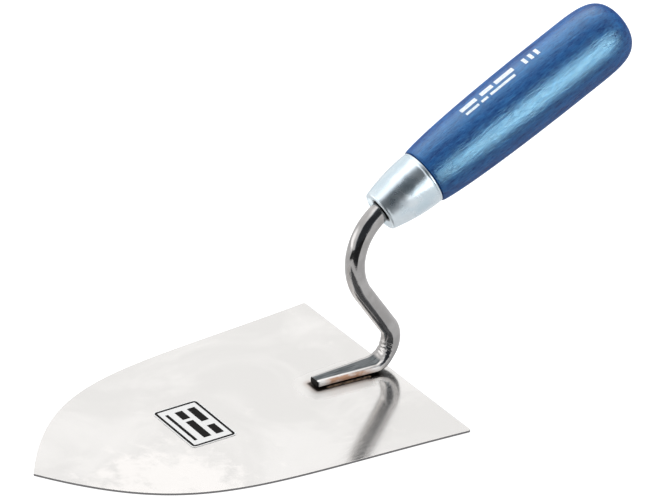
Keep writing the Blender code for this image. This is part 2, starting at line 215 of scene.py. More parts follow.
class Nodes:
    """Short ways to add nodes to a tree and to link them."""

    def __init__(self, tree):
        self.tree = tree
        self.made = 0

    def add(self, kind, **settings):
        node = self.tree.nodes.new(kind)
        node.location = (220 * (self.made // 6), -180 * (self.made % 6))
        self.made += 1
        for key, value in settings.items():
            setattr(node, key, value)
        return node

    def link(self, out_socket, in_socket):
        self.tree.links.new(out_socket, in_socket)

    def put(self, socket, value):
        """Links a socket, or sets a plain value."""
        if isinstance(value, bpy.types.NodeSocket):
            self.link(value, socket)
        else:
            socket.default_value = value

    def math(self, operation, first, second=0.0):
        node = self.add("ShaderNodeMath", operation=operation)
        self.put(node.inputs[0], first)
        self.put(node.inputs[1], second)
        return node.outputs[0]

    def remap(self, value, low, high, to_low=0.0, to_high=1.0, kind="SMOOTHSTEP"):
        node = self.add("ShaderNodeMapRange", interpolation_type=kind)
        self.put(node.inputs["Value"], value)
        self.put(node.inputs["From Min"], low)
        self.put(node.inputs["From Max"], high)
        self.put(node.inputs["To Min"], to_low)
        self.put(node.inputs["To Max"], to_high)
        return node.outputs["Result"]

    def mix(self, share, first, second):
        node = self.add("ShaderNodeMix", data_type="RGBA")
        self.put(node.inputs["Factor"], share)
        self.put(node.inputs["A"], first)
        self.put(node.inputs["B"], second)
        return node.outputs["Result"]

    def noise(self, vector, scale, detail=2.0, roughness=0.5, distortion=0.0):
        node = self.add("ShaderNodeTexNoise")
        self.put(node.inputs["Vector"], vector)
        self.put(node.inputs["Scale"], scale)
        self.put(node.inputs["Detail"], detail)
        self.put(node.inputs["Roughness"], roughness)
        self.put(node.inputs["Distortion"], distortion)
        return node.outputs["Fac"]

    def stretched(self, scale, turn=(0.0, 0.0, 0.0)):
        """Object coordinates turned and then scaled by a different amount along each axis."""
        coords = self.add("ShaderNodeTexCoord")
        turned = self.add("ShaderNodeMapping", vector_type="POINT")
        turned.inputs["Rotation"].default_value = turn
        self.link(coords.outputs["Object"], turned.inputs["Vector"])
        scaled = self.add("ShaderNodeMapping", vector_type="POINT")
        scaled.inputs["Scale"].default_value = scale
        self.link(turned.outputs["Vector"], scaled.inputs["Vector"])
        return scaled.outputs["Vector"]

    def place(self):
        """The point's Object coordinates, one output for each axis."""
        coords = self.add("ShaderNodeTexCoord")
        split = self.add("ShaderNodeSeparateXYZ")
        self.link(coords.outputs["Object"], split.inputs[0])
        return split.outputs

    def facing(self):
        """The surface's direction, one output for each axis."""
        geometry = self.add("ShaderNodeNewGeometry")
        split = self.add("ShaderNodeSeparateXYZ")
        self.link(geometry.outputs["Normal"], split.inputs[0])
        return split.outputs

    def length(self, first, second):
        squares = self.math("ADD", self.math("MULTIPLY", first, first), self.math("MULTIPLY", second, second))
        return self.math("SQRT", squares)

    def near(self, place, spot, inner, outer):
        """1 within inner metres of a spot on the blade, easing to 0 at outer metres."""
        away_x = self.math("SUBTRACT", place["X"], spot[0])
        away_y = self.math("SUBTRACT", place["Y"], spot[1])
        return self.remap(self.length(away_x, away_y), inner, outer, 1.0, 0.0)

    def foot_gap(self, place):
        """How far a point of the blade is from the foot's footprint, in metres."""
        slope = (FOOT_HEEL_WIDTH - FOOT_TOE_WIDTH) / 2 / FOOT_LENGTH
        widening = self.math("MULTIPLY", self.math("SUBTRACT", place["X"], TOE_X), slope)
        half = self.math("ADD", widening, FOOT_TOE_WIDTH / 2)
        beside = self.math("MAXIMUM", self.math("SUBTRACT", self.math("ABSOLUTE", place["Y"]), half), 0.0)
        from_middle = self.math("ABSOLUTE", self.math("SUBTRACT", place["X"], TOE_X + FOOT_LENGTH / 2))
        past = self.math("MAXIMUM", self.math("SUBTRACT", from_middle, FOOT_LENGTH / 2), 0.0)
        return self.length(beside, past)

    def from_axis(self):
        """Distance along the handle's axis from the ferrule's front, and distance out from it, in metres."""
        coords = self.add("ShaderNodeTexCoord")
        turned = self.add("ShaderNodeMapping", vector_type="POINT")
        turned.inputs["Rotation"].default_value = ALONG_HANDLE
        turned.inputs["Location"].default_value = -(Matrix.Rotation(HANDLE_PITCH, 3, "Y") @ ferrule_start())
        self.link(coords.outputs["Object"], turned.inputs["Vector"])
        split = self.add("ShaderNodeSeparateXYZ")
        self.link(turned.outputs["Vector"], split.inputs[0])
        return split.outputs["X"], self.length(split.outputs["Y"], split.outputs["Z"])

    def mottle(self, grain, edges, low, high, rough=(0.0, 0.0)):
        """Places the mottling group over Object coordinates and returns its tone, colour and roughness.

        Grain is the noise's scale, detail, roughness and distortion. Low and high are the two colours.
        """
        coords = self.add("ShaderNodeTexCoord")
        group = self.add("ShaderNodeGroup", node_tree=MOTTLING)
        self.link(coords.outputs["Object"], group.inputs["Place"])
        values = dict(zip(("Scale", "Detail", "Breakup", "Distortion"), grain))
        values.update(zip(("Low Edge", "High Edge"), edges))
        values.update(zip(("Low Roughness", "High Roughness"), rough))
        values["Low Colour"] = (*low, 1.0)
        values["High Colour"] = (*high, 1.0)
        for name, value in values.items():
            group.inputs[name].default_value = value
        return group.outputs["Tone"], group.outputs["Colour"], group.outputs["Roughness"]

    def bump(self, height, distance, strength):
        node = self.add("ShaderNodeBump")
        node.inputs["Strength"].default_value = strength
        node.inputs["Distance"].default_value = distance
        self.put(node.inputs["Height"], height)
        return node.outputs["Normal"]


def mottling_group():
    """Uneven tone that most of the finishes share: clouds, and the colour and roughness that follow them."""
    group = bpy.data.node_groups.new("mottling", "ShaderNodeTree")
    group.interface.new_socket(name="Place", in_out="INPUT", socket_type="NodeSocketVector")
    for name in ("Scale", "Detail", "Breakup", "Distortion",
                 "Low Edge", "High Edge", "Low Roughness", "High Roughness"):
        group.interface.new_socket(name=name, in_out="INPUT", socket_type="NodeSocketFloat")
    for name in ("Low Colour", "High Colour"):
        group.interface.new_socket(name=name, in_out="INPUT", socket_type="NodeSocketColor")
    group.interface.new_socket(name="Tone", in_out="OUTPUT", socket_type="NodeSocketFloat")
    group.interface.new_socket(name="Colour", in_out="OUTPUT", socket_type="NodeSocketColor")
    group.interface.new_socket(name="Roughness", in_out="OUTPUT", socket_type="NodeSocketFloat")
    nodes = Nodes(group)
    given = nodes.add("NodeGroupInput").outputs
    result = nodes.add("NodeGroupOutput").inputs
    tone = nodes.noise(given["Place"], given["Scale"], given["Detail"], given["Breakup"], given["Distortion"])
    share = nodes.remap(tone, given["Low Edge"], given["High Edge"])
    nodes.link(tone, result["Tone"])
    nodes.link(nodes.mix(share, given["Low Colour"], given["High Colour"]), result["Colour"])
    rough = nodes.remap(tone, 0.3, 0.7, given["Low Roughness"], given["High Roughness"], "LINEAR")
    nodes.link(rough, result["Roughness"])
    return group


MOTTLING = mottling_group()
STRAIGHT_MIX = (-0.25, 1.25)  # edges that let the colour follow the tone evenly


def new_material(name, **plain):
    """A material with its Principled shader's plain values set, its shader and its node helper."""
    material = bpy.data.materials.new(name)
    material.use_nodes = True
    shader = material.node_tree.nodes["Principled BSDF"]
    for key, value in plain.items():
        shader.inputs[key.replace("_", " ")].default_value = value
    return material, shader, Nodes(material.node_tree)


def stainless_sheet():
    """Bright rolled sheet: grain along the blade, cloudy polish, painted shade on the edges, heat tint with
    painted shadow at the foot.
    """
    material, shader, nodes = new_material("bright_stainless_sheet", Metallic=0.89)
    place = nodes.place()
    cloud, colour, _ = nodes.mottle(
        (16.0, 4.0, 0.6, 0.8), (0.40, 0.66), (0.785, 0.770, 0.752), (0.870, 0.852, 0.833)
    )
    # Polished patch with a ragged outline
    ragged = nodes.noise(nodes.stretched((95.0, 80.0, 95.0)), 1.0, 6.0, 0.66)
    ragged = nodes.remap(ragged, 0.3, 0.7, -0.5, 0.5, "LINEAR")
    rubbed = nodes.math("ADD", nodes.near(place, POLISHED_SPOT, 0.004, 0.056), ragged)
    colour = nodes.mix(nodes.remap(rubbed, 0.25, 0.85, 0.0, 0.85), colour, (0.965, 0.935, 0.910, 1.0))
    # Heat tint round the foot with a painted soft shadow in it, and a painted contact shadow: a near-black
    # line where the two meet
    gap = nodes.foot_gap(place)
    tint_and_shadow = nodes.remap(gap, 0.0004, 0.0042, 1.0, 0.0)
    tint_and_shadow = nodes.math("MULTIPLY", tint_and_shadow, nodes.remap(cloud, 0.25, 0.60, 0.45, 1.0))
    colour = nodes.mix(nodes.math("MULTIPLY", tint_and_shadow, 0.75), colour, (0.46, 0.36, 0.30, 1.0))
    # Painted contact shadow on the blade along the foot's footprint
    colour = nodes.mix(nodes.remap(gap, 0.0004, 0.0019, 1.0, 0.0), colour, (0.040, 0.028, 0.022, 1.0))
    # Painted shade: the sideways-facing edge faces darkened
    edge_shade = nodes.remap(nodes.math("ABSOLUTE", nodes.facing()["Z"]), 0.80, 0.97, 1.0, 0.0)
    colour = nodes.mix(edge_shade, colour, (0.22, 0.214, 0.217, 1.0))
    nodes.put(shader.inputs["Base Color"], colour)
    # Gloss: duller beside the foot, but not past the bend
    grain = nodes.noise(nodes.stretched((40.0, 900.0, 40.0)), 1.0, 3.0, 0.6)
    rough = nodes.remap(grain, 0.3, 0.7, 0.10, 0.15, "LINEAR")
    ahead = nodes.remap(place["X"], FOOT_END_X - 0.0080, FOOT_END_X - 0.0020, 1.0, 0.0)
    dull = nodes.math("MULTIPLY", nodes.remap(gap, 0.0040, 0.0100, 0.42, 0.0), ahead)
    nodes.put(shader.inputs["Roughness"], nodes.math("ADD", rough, dull))
    wave = nodes.noise(nodes.stretched((1.0, 1.0, 1.0)), 22.0, 2.0)
    height = nodes.math("ADD", wave, nodes.math("MULTIPLY", grain, 0.006))
    nodes.put(shader.inputs["Normal"], nodes.bump(height, 0.0002, 0.25))
    return material


def plated_forging():
    """Polished steel whose foot keeps the marks of the forge: black scale, streaks and copper heat tint.
    Painted highlight brightens the foot's sides; painted shade and a painted dark reflection blacken its
    underside, far top edge and the neck in the ferrule's mouth.
    """
    material, shader, nodes = new_material("polished_plated_forging", Metallic=1.0)
    place = nodes.place()
    facing = nodes.facing()
    _, neck, rough = nodes.mottle(
        (160.0, 3.0, 0.6, 0.0), (0.35, 0.7), (0.400, 0.388, 0.382), (0.490, 0.476, 0.470), (0.08, 0.15)
    )
    # Painted highlight: brighter colour on the sides and front end of the foot, where they face sideways
    across = nodes.math("ABSOLUTE", facing["Y"])
    low = nodes.remap(place["Z"], FOOT_TOP + 0.0006, FOOT_TOP + 0.0024, 1.0, 0.0)
    ahead = nodes.remap(place["X"], FOOT_END_X + 0.0005, FOOT_END_X + 0.0035, 1.0, 0.0)
    on_foot = nodes.math("MULTIPLY", ahead, low)
    lit_front_end = nodes.math("MULTIPLY", nodes.remap(facing["X"], -0.35, -0.12, 1.0, 0.0),
                           nodes.remap(place["X"], TOE_X + 0.0010, TOE_X + 0.0020, 1.0, 0.0))
    side = nodes.math("MAXIMUM", nodes.remap(across, 0.08, 0.20), lit_front_end)
    side = nodes.math("MULTIPLY", side, on_foot)
    colour = nodes.mix(side, neck, (0.740, 0.722, 0.706, 1.0))
    # Patchy copper tint along the middle of the sides
    along = nodes.math("MULTIPLY", nodes.remap(place["X"], TOE_X + 0.0025, TOE_X + 0.0065),
                       nodes.remap(place["X"], TOE_X + 0.0205, TOE_X + 0.0280, 1.0, 0.0))
    patches = nodes.noise(nodes.stretched((300.0, 300.0, 700.0)), 1.0, 3.0, 0.6)
    patchy = nodes.math("MULTIPLY", along, nodes.remap(patches, 0.28, 0.58, 0.45, 1.0))
    upright = nodes.math("MULTIPLY", nodes.remap(across, 0.30, 0.55), on_foot)
    colour = nodes.mix(nodes.math("MULTIPLY", patchy, upright), colour, (0.47, 0.28, 0.19, 1.0))
    # Flat top of the foot, streaked lengthwise
    up = nodes.math("MULTIPLY", nodes.remap(across, 0.08, 0.18, 1.0, 0.0),
                    nodes.remap(facing["Z"], 0.68, 0.86))
    before_bend = nodes.remap(place["X"], FOOT_END_X + 0.0030, FOOT_END_X + 0.0075, 1.0, 0.0)
    near_foot = nodes.remap(place["Z"], FOOT_TOP + 0.0014, FOOT_TOP + 0.0034, 1.0, 0.0)
    flat_top = nodes.math("MULTIPLY", nodes.math("MULTIPLY", before_bend, up), near_foot)
    streak = nodes.noise(nodes.stretched((120.0, 1500.0, 120.0)), 1.0, 4.0, 0.65)
    streaked = nodes.remap(streak, 0.3, 0.7)
    streaked = nodes.mix(streaked, (0.045, 0.055, 0.060, 1.0), (0.195, 0.210, 0.218, 1.0))
    colour = nodes.mix(flat_top, colour, streaked)
    # Near-black: painted shade on the underside of the foot and bend (over its black scale) and on the neck
    # inside the ferrule's mouth, a painted dark reflection along the far top edge of the foot, and a dark
    # face on the toe
    under = nodes.math("MULTIPLY", nodes.remap(facing["Z"], -0.30, -0.05, 1.0, 0.0),
                       nodes.remap(place["Z"], FOOT_TOP + 0.0040, FOOT_TOP + 0.0120, 1.0, 0.0))
    toe = nodes.math("MULTIPLY", nodes.remap(facing["X"], -0.80, -0.45, 1.0, 0.0),
                     nodes.remap(place["X"], TOE_X + 0.0008, TOE_X + 0.0020, 1.0, 0.0))
    along_axis, _ = nodes.from_axis()
    mouth_shade = nodes.remap(along_axis, NOSE_DISH - 0.0016, NOSE_DISH - 0.0006)
    far_rim_dark_reflection = nodes.math("MULTIPLY", nodes.remap(facing["Y"], 0.26, 0.36),
                         nodes.remap(facing["Y"], 0.60, 0.85, 1.0, 0.0))
    scale = nodes.math("MAXIMUM", nodes.math("MAXIMUM", under, toe),
                       nodes.math("MAXIMUM", mouth_shade, nodes.math("MULTIPLY", far_rim_dark_reflection, on_foot)))
    colour = nodes.mix(scale, colour, (0.011, 0.010, 0.010, 1.0))
    nodes.put(shader.inputs["Base Color"], colour)
    for mask, duller in ((flat_top, 0.25), (side, 0.20), (scale, 0.25)):
        rough = nodes.math("ADD", rough, nodes.math("MULTIPLY", mask, duller))
    nodes.put(shader.inputs["Roughness"], rough)
    dimple = nodes.noise(nodes.stretched((1.0, 1.0, 1.0)), 330.0, 3.0, 0.6)
    rasped = nodes.math("MULTIPLY", nodes.math("MULTIPLY", streak, flat_top), 0.8)
    nodes.put(shader.inputs["Normal"], nodes.bump(nodes.math("ADD", dimple, rasped), 0.00008, 0.40))
    return material


def weld_metal():
    """Heat-tinted weld seam, darkened further as painted shade: the dark line along the foot's lower edges.
    """
    material, shader, nodes = new_material("heat_tinted_weld_and_shade", Metallic=1.0)
    _, colour, rough = nodes.mottle(
        (500.0, 3.0, 0.6, 0.0), (0.35, 0.65), (0.030, 0.022, 0.018), (0.150, 0.100, 0.068), (0.25, 0.45)
    )
    nodes.put(shader.inputs["Base Color"], colour)
    nodes.put(shader.inputs["Roughness"], rough)
    return material


def zinc_shell():
    """Satin bluish zinc over drawn sheet: soft clouds, slight dents, and a painted shadow round the neck."""
    material, shader, nodes = new_material("bright_zinc_shell", Metallic=0.93)
    _, colour, rough = nodes.mottle(
        (90.0, 3.0, 0.55, 0.4), (0.35, 0.65), (0.630, 0.745, 0.815), (0.765, 0.835, 0.880), (0.22, 0.33)
    )
    along, around = nodes.from_axis()
    # Painted shadow: a dark ring on the front face round the hole the neck goes through
    front = nodes.remap(along, NOSE_DISH + 0.0006, NOSE_DISH + 0.0012, 1.0, 0.0)
    hole_shade = nodes.remap(around, FERRULE_HOLE_RADIUS + 0.0002, FERRULE_HOLE_RADIUS + 0.0013, 1.0, 0.0)
    colour = nodes.mix(nodes.math("MULTIPLY", front, hole_shade), colour, (0.050, 0.055, 0.060, 1.0))
    nodes.put(shader.inputs["Base Color"], colour)
    nodes.put(shader.inputs["Roughness"], rough)
    dent = nodes.noise(nodes.stretched((1.0, 1.0, 1.0)), 110.0, 2.0)
    nodes.put(shader.inputs["Normal"], nodes.bump(dent, 0.0006, 0.40))
    return material


def blue_wood():
    """Deep blue stain under satin lacquer: grain along the handle shows in colour, gloss and relief."""
    material, shader, nodes = new_material(
        "blue_stained_lacquered_wood", Metallic=0.0, IOR=1.40, Specular_Tint=(0.45, 0.87, 0.96, 1.0)
    )
    fibres = nodes.noise(nodes.stretched((320.0, 1500.0, 1500.0), ALONG_HANDLE), 1.0, 4.0, 0.65)
    figure = nodes.noise(nodes.stretched((60.0, 520.0, 520.0), ALONG_HANDLE), 1.0, 3.0, 0.6, 0.5)
    blotch = nodes.noise(nodes.stretched((150.0, 260.0, 260.0), ALONG_HANDLE), 1.0, 3.0, 0.6, 0.5)
    tone = nodes.math("ADD", nodes.math("MULTIPLY", fibres, 0.35), nodes.math("MULTIPLY", blotch, 0.35))
    tone = nodes.math("ADD", tone, nodes.math("MULTIPLY", figure, 0.30))
    shade = nodes.remap(tone, 0.38, 0.62, 0.0, 1.0, "LINEAR")
    colour = nodes.mix(shade, (0.013, 0.044, 0.205, 1.0), (0.030, 0.160, 0.465, 1.0))
    nodes.put(shader.inputs["Base Color"], colour)
    nodes.put(shader.inputs["Roughness"], nodes.remap(fibres, 0.32, 0.68, 0.22, 0.47, "LINEAR"))
    # The lacquer loses its gloss where the surface turns away
    edge = nodes.add("ShaderNodeLayerWeight")
    gloss = nodes.remap(edge.outputs["Facing"], 0.35, 0.72, 0.50, 0.05)
    nodes.put(shader.inputs["Specular IOR Level"], gloss)
    height = nodes.math("ADD", fibres, nodes.math("MULTIPLY", nodes.math("ADD", figure, blotch), 0.8))
    nodes.put(shader.inputs["Normal"], nodes.bump(height, 0.00024, 0.60))
    return material


def label_paper():
    """White film of the label."""
    material, shader, nodes = new_material("label_white_film", Metallic=0.0, Roughness=0.38)
    _, colour, _ = nodes.mottle((300.0, 3.0, 0.5, 0.0), STRAIGHT_MIX, (0.88, 0.88, 0.87), (0.95, 0.95, 0.94))
    nodes.put(shader.inputs["Base Color"], colour)
    return material


def label_ink():
    """Dull black ink on the label."""
    material, shader, nodes = new_material(
        "label_black_ink", Metallic=0.0, Roughness=0.50, Specular_IOR_Level=0.05
    )
    _, colour, _ = nodes.mottle(
        (900.0, 2.0, 0.5, 0.0), STRAIGHT_MIX, (0.004, 0.004, 0.004), (0.012, 0.011, 0.010)
    )
    nodes.put(shader.inputs["Base Color"], colour)
    return material


def handle_print():
    """White print with a little of the blue wood showing through."""
    material, shader, nodes = new_material("white_print_on_wood", Metallic=0.0, Roughness=0.40)
    _, colour, _ = nodes.mottle((900.0, 3.0, 0.7, 0.0), (0.35, 0.6), (0.55, 0.66, 0.78), (0.86, 0.89, 0.92))
    nodes.put(shader.inputs["Base Color"], colour)
    return material


# ---------------------------------------------------------------- blade


def blade_outline():
    """Points from the left heel corner round the tip to the right heel corner."""
    half = BLADE_WIDTH / 2
    corner = Vector((HEEL_X, half, 0.0))
    heel_handle = Vector((HEEL_X - HEEL_HANDLE[0] * BLADE_LENGTH, HEEL_HANDLE[1] * half, 0.0))
    tip_handle = Vector((HEEL_X - TIP_HANDLE[0] * BLADE_LENGTH, TIP_HANDLE[1] * half, 0.0))
    tip = Vector((HEEL_X - BLADE_LENGTH, 0.0, 0.0))
    left = interpolate_bezier(corner, heel_handle, tip_handle, tip, OUTLINE_STEPS)
    right = [Vector((point.x, -point.y, 0.0)) for point in reversed(left[:-1])]
    return left + right


def make_blade(material):
    bm = bmesh.new()
    rim = [bm.verts.new(point) for point in blade_outline()]
    bm.faces.new(rim)
    bmesh.ops.bevel(bm, geom=[rim[0], rim[-1]], offset=HEEL_CORNER_RADIUS, segments=6, profile=0.5,
                    affect="VERTICES", material=-1)
    raised = bmesh.ops.extrude_face_region(bm, geom=bm.faces[:])
    top = [item for item in raised["geom"] if isinstance(item, bmesh.types.BMVert)]
    bmesh.ops.translate(bm, vec=(0.0, 0.0, BLADE_TOP), verts=top)
    level = [edge for edge in bm.edges if abs(edge.verts[0].co.z - edge.verts[1].co.z) < 1e-7]
    bmesh.ops.bevel(bm, geom=level, offset=BLADE_EDGE_BREAK, segments=2, profile=0.5, affect="EDGES",
                    material=-1)
    bmesh.ops.recalc_face_normals(bm, faces=bm.faces)
    return object_from(bm, "blade_sheet", material, math.radians(12))


# ---------------------------------------------------------------- tang


def bend_start():
    """Middle of the foot's section where it turns up."""
    return Vector((FOOT_END_X, 0.0, BLADE_TOP + REST_GAP + FOOT_HEIGHT / 2))


def bend_end():
    rise = BEND_RADIUS * (1.0 - math.cos(NECK_LEAN))
    return bend_start() + Vector((BEND_RADIUS * math.sin(NECK_LEAN), 0.0, rise))


def knee_centre():
    knee_start = bend_end() + heading(NECK_LEAN) * NECK_STRAIGHT
    return knee_start + heading(NECK_LEAN - math.pi / 2) * KNEE_RADIUS


def knee_end():
    """Where the neck meets the handle's axis."""
    return knee_centre() + heading(HANDLE_PITCH + math.pi / 2) * KNEE_RADIUS


def section_points(place, direction, width, thickness, squareness):
    """A closed ring across the tang: round, or squarer as the squareness goes up from 2."""
    up = heading(direction + math.pi / 2)
    ring = []
    for step in range(SECTION_SIDES):
        turn = 2 * math.pi * (step + 0.5) / SECTION_SIDES
        across = math.copysign(abs(math.cos(turn)) ** (2 / squareness), math.cos(turn)) * width / 2
        lift = math.copysign(abs(math.sin(turn)) ** (2 / squareness), math.sin(turn)) * thickness / 2
        ring.append(place + Vector((0.0, across, 0.0)) + up * lift)
    return ring


def tang_stations():
    """(place, direction, width, thickness, squareness) along the tang, from the toe into the ferrule."""
    stations = []
    start = bend_start()
    foot_steps = 24
    for step in range(foot_steps + 1):
        share = step / foot_steps
        place = start + Vector((-FOOT_LENGTH * (1.0 - share), 0.0, 0.0))
        width = FOOT_TOE_WIDTH + (FOOT_HEEL_WIDTH - FOOT_TOE_WIDTH) * share
        stations.append((place, 0.0, width, FOOT_HEIGHT, FOOT_SQUARENESS))
    bend_centre = start + Vector((0.0, 0.0, BEND_RADIUS))
    bend_steps = 64
    for step in range(1, bend_steps + 1):
        share = step / bend_steps
        angle = NECK_LEAN * share
        place = bend_centre + heading(angle - math.pi / 2) * BEND_RADIUS
        width = blend(FOOT_HEEL_WIDTH, NECK_DIAMETER, share / BEND_SHAPED)
        thickness = blend(FOOT_HEIGHT, NECK_DIAMETER, share / BEND_SHAPED)
        squareness = blend(FOOT_SQUARENESS, ROUND, share / BEND_ROUNDED)
        lift = heading(angle + math.pi / 2) * (thickness - FOOT_HEIGHT) / 2 * (1.0 - share)
        stations.append((place + lift, angle, width, thickness, squareness))
    neck_steps = 24
    for step in range(1, neck_steps + 1):
        place = bend_end() + heading(NECK_LEAN) * NECK_STRAIGHT * step / neck_steps
        stations.append((place, NECK_LEAN, NECK_DIAMETER, NECK_DIAMETER, ROUND))
    knee_steps = 56
    for step in range(1, knee_steps + 1):
        share = step / knee_steps
        angle = NECK_LEAN + (HANDLE_PITCH - NECK_LEAN) * share
        place = knee_centre() + heading(angle + math.pi / 2) * KNEE_RADIUS
        diameter = blend(NECK_DIAMETER, NECK_TOP_DIAMETER, share)
        stations.append((place, angle, diameter, diameter, ROUND))
    inside = knee_end() + heading(HANDLE_PITCH) * NECK_INSIDE
    stations.append((inside, HANDLE_PITCH, NECK_TOP_DIAMETER, NECK_TOP_DIAMETER, ROUND))
    return stations


def make_tang(material):
    stations = tang_stations()
    bm = bmesh.new()
    made = bmesh.ops.create_circle(bm, cap_ends=True, segments=SECTION_SIDES, radius=FOOT_TOE_WIDTH / 2)
    loop_verts = made["verts"]
    for vert, point in zip(loop_verts, section_points(*stations[0])):
        vert.co = point
    toe_edges = bm.edges[:]
    edges = toe_edges
    for station in stations[1:]:
        grown = bmesh.ops.extrude_edge_only(bm, edges=edges)
        verts = [item for item in grown["geom"] if isinstance(item, bmesh.types.BMVert)]
        edges = [item for item in grown["geom"] if isinstance(item, bmesh.types.BMEdge)]
        # Each new vertex starts on top of the one it grew from, so it is matched by place.
        previous = {tuple(round(c, 7) for c in vert.co): i for i, vert in enumerate(loop_verts)}
        ordered = [None] * SECTION_SIDES
        for vert in verts:
            ordered[previous[tuple(round(c, 7) for c in vert.co)]] = vert
        for vert, point in zip(ordered, section_points(*station)):
            vert.co = point
        loop_verts = ordered
    bm.faces.new(loop_verts)
    bmesh.ops.bevel(bm, geom=toe_edges, offset=FOOT_TOE_BREAK, segments=4, profile=0.5, affect="EDGES",
                    material=-1)
    forge(bm)
    bmesh.ops.recalc_face_normals(bm, faces=bm.faces)
    return object_from(bm, "tang_forging", material, math.radians(40))


def forge(bm):
    """Hammer marks, all of them inwards: folds inside the lower bend, and faint flats everywhere."""
    centre = bend_start() + Vector((0.0, 0.0, BEND_RADIUS))
    bm.normal_update()
    for vert in bm.verts:
        place = vert.co
        around = math.atan2(place.x - centre.x, centre.z - place.z)
        reach = math.hypot(place.x - centre.x, place.z - centre.z)
        inner = ease((BEND_RADIUS - reach) / FOLD_REACH) * hump(around, FOLD_MIDDLE, FOLD_SPAN)
        fold = math.sin(around * FOLD_RATE + 2.5 * noise.noise(place * 400.0))
        lift = FOLD_DEPTH * inner * fold + HAMMER_DEPTH * noise.noise(place * 260.0)
        vert.co = place - vert.normal * (SCALE_LOSS + max(-lift, 0.0))


# ---------------------------------------------------------------- welds


def make_weld(side, material):
    """A rippled seam with a hollow face along one side of the foot. Side is 1 for left, -1 for right."""
    name = "weld_bead_left" if side > 0 else "weld_bead_right"
    low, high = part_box("weld_left" if side > 0 else "weld_right")
    bm = bmesh.new()
    loops = []
    for step in range(WELD_STEPS + 1):
        share = step / WELD_STEPS
        x = low.x + (high.x - low.x) * share
        half = (FOOT_TOE_WIDTH + (FOOT_HEEL_WIDTH - FOOT_TOE_WIDTH) * (x - TOE_X) / FOOT_LENGTH) / 2
        foot_side = half + WELD_GAP
        # Ripples along the seam, which tapers off at both ends
        swell = 0.80 + 0.20 * noise.noise(Vector((x * 900.0, side, 0.0)))
        leg = WELD_LEG * swell * math.sqrt(max(1.0 - (2 * share - 1) ** 8, 0.03))
        verts = [bm.verts.new((x, side * foot_side, low.z))]
        for turn in range(WELD_SIDES + 1):
            angle = math.pi / 2 * turn / WELD_SIDES
            reach = leg * (1.0 - 0.32 * math.sin(2 * angle))
            out = foot_side + reach * math.cos(angle)
            verts.append(bm.verts.new((x, side * out, low.z + reach * math.sin(angle))))
        loops.append([bm.edges.new((verts[i - 1], verts[i])) for i in range(len(verts))])
        if step in (0, WELD_STEPS):
            bm.faces.new(verts)
    for near, far in zip(loops, loops[1:]):
        bmesh.ops.bridge_loops(bm, edges=near + far)
    bmesh.ops.recalc_face_normals(bm, faces=bm.faces)
    return object_from(bm, name, material, math.radians(50))


# ---------------------------------------------------------------- turned pieces


def axis_matrix(start):
    """Puts +Z on the handle's axis, from a start on it."""
    tilt = Matrix.Rotation(math.pi / 2 - HANDLE_PITCH, 4, "Y")
    return Matrix.Translation(start) @ tilt


def turn_profile(profile, name, material, smooth_below):
    """Spins a closed profile of (radius, distance from the ferrule's front) round the handle's axis."""
    bm = bmesh.new()
    verts = [bm.verts.new((radius, 0.0, along)) for radius, along in profile]
    edges = [bm.edges.new((verts[i], verts[i + 1])) for i in range(len(verts) - 1)]
    # A solid's profile starts and ends on the axis. A hollow one has to be closed.
    if profile[0][0] > 0.0 or profile[-1][0] > 0.0:
        edges.append(bm.edges.new((verts[-1], verts[0])))
    bmesh.ops.spin(bm, geom=verts + edges, cent=(0.0, 0.0, 0.0), axis=(0.0, 0.0, 1.0), angle=2 * math.pi,
                   steps=TURNED_SIDES, use_merge=True)
    bmesh.ops.remove_doubles(bm, verts=bm.verts, dist=1e-6)
    bmesh.ops.transform(bm, matrix=axis_matrix(ferrule_start()), verts=bm.verts)
    bmesh.ops.recalc_face_normals(bm, faces=bm.faces)
    return object_from(bm, name, material, smooth_below)


def ferrule_start():
    """Where the handle's axis enters the ferrule's front."""
    return knee_end() - heading(HANDLE_PITCH) * FERRULE_LEAD


def ferrule_radius(along):
    """Outer radius at a distance from the ferrule's front: a cone that swells towards its rear."""
    left = 1.0 - along / FERRULE_LENGTH
    return FERRULE_REAR_RADIUS - (FERRULE_REAR_RADIUS - FERRULE_NOSE_RADIUS) * left * left


def arc(centre, radius, start, end, steps):
    """Points of an arc in the profile plane, angles from the radius direction towards the axis direction."""
    points = []
    for step in range(steps + 1):
        angle = start + (end - start) * step / steps
        points.append((centre[0] + radius * math.cos(angle), centre[1] + radius * math.sin(angle)))
    return points


